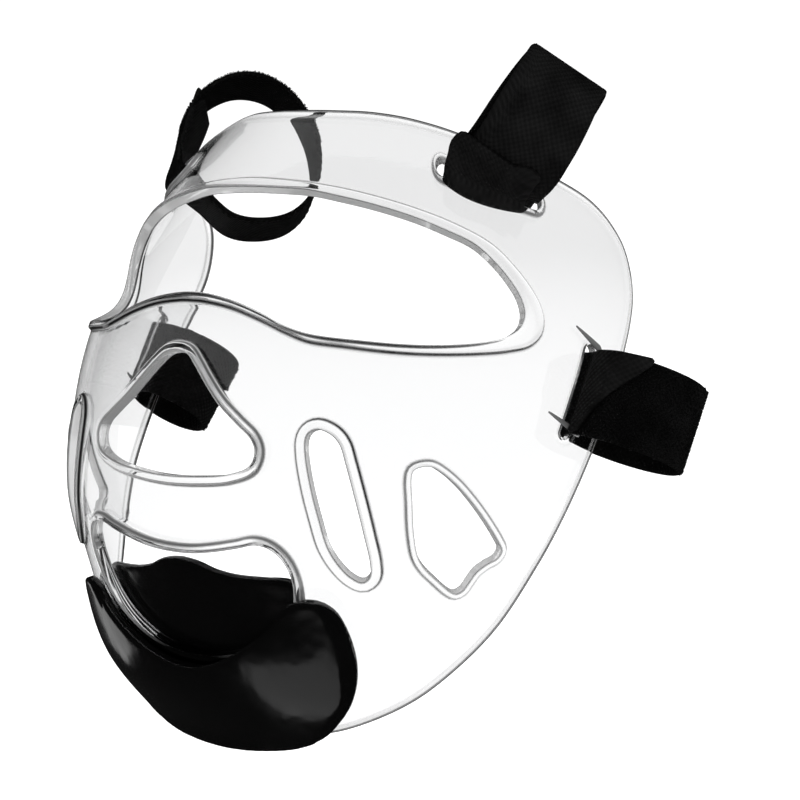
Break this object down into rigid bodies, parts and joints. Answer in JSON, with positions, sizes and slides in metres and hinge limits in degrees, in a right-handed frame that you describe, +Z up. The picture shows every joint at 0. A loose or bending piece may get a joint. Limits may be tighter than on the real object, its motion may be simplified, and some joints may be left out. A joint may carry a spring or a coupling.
{
  "type": "face_shield",
  "caption": "Clear moulded face shield for taekwondo headgear, with an eye opening, breathing slots, a glossy black chin cup and black hook-and-loop straps closed into loops.",
  "frame": {"origin": "in the space for the head, on the middle plane, level with the lower rim of the eye opening and with the widest part of the temples", "axes": "+Z up, -Y the way the wearer looks, +X the wearer's left"},
  "size_m": [0.2192, 0.1107, 0.2081],
  "materials": {
    "clear_shell": "clear moulded polycarbonate, glossy",
    "chin_cup": "glossy black moulded plastic",
    "webbing": "matte black woven hook-and-loop webbing"
  },
  "bodies": {
    "root": {"clear_shell": "clear_shell", "chin_cup": "chin_cup", "upper_strap_left": "webbing", "upper_strap_right": "webbing", "lower_strap_left": "webbing", "lower_strap_right": "webbing"}
  },
  "joints": []
}
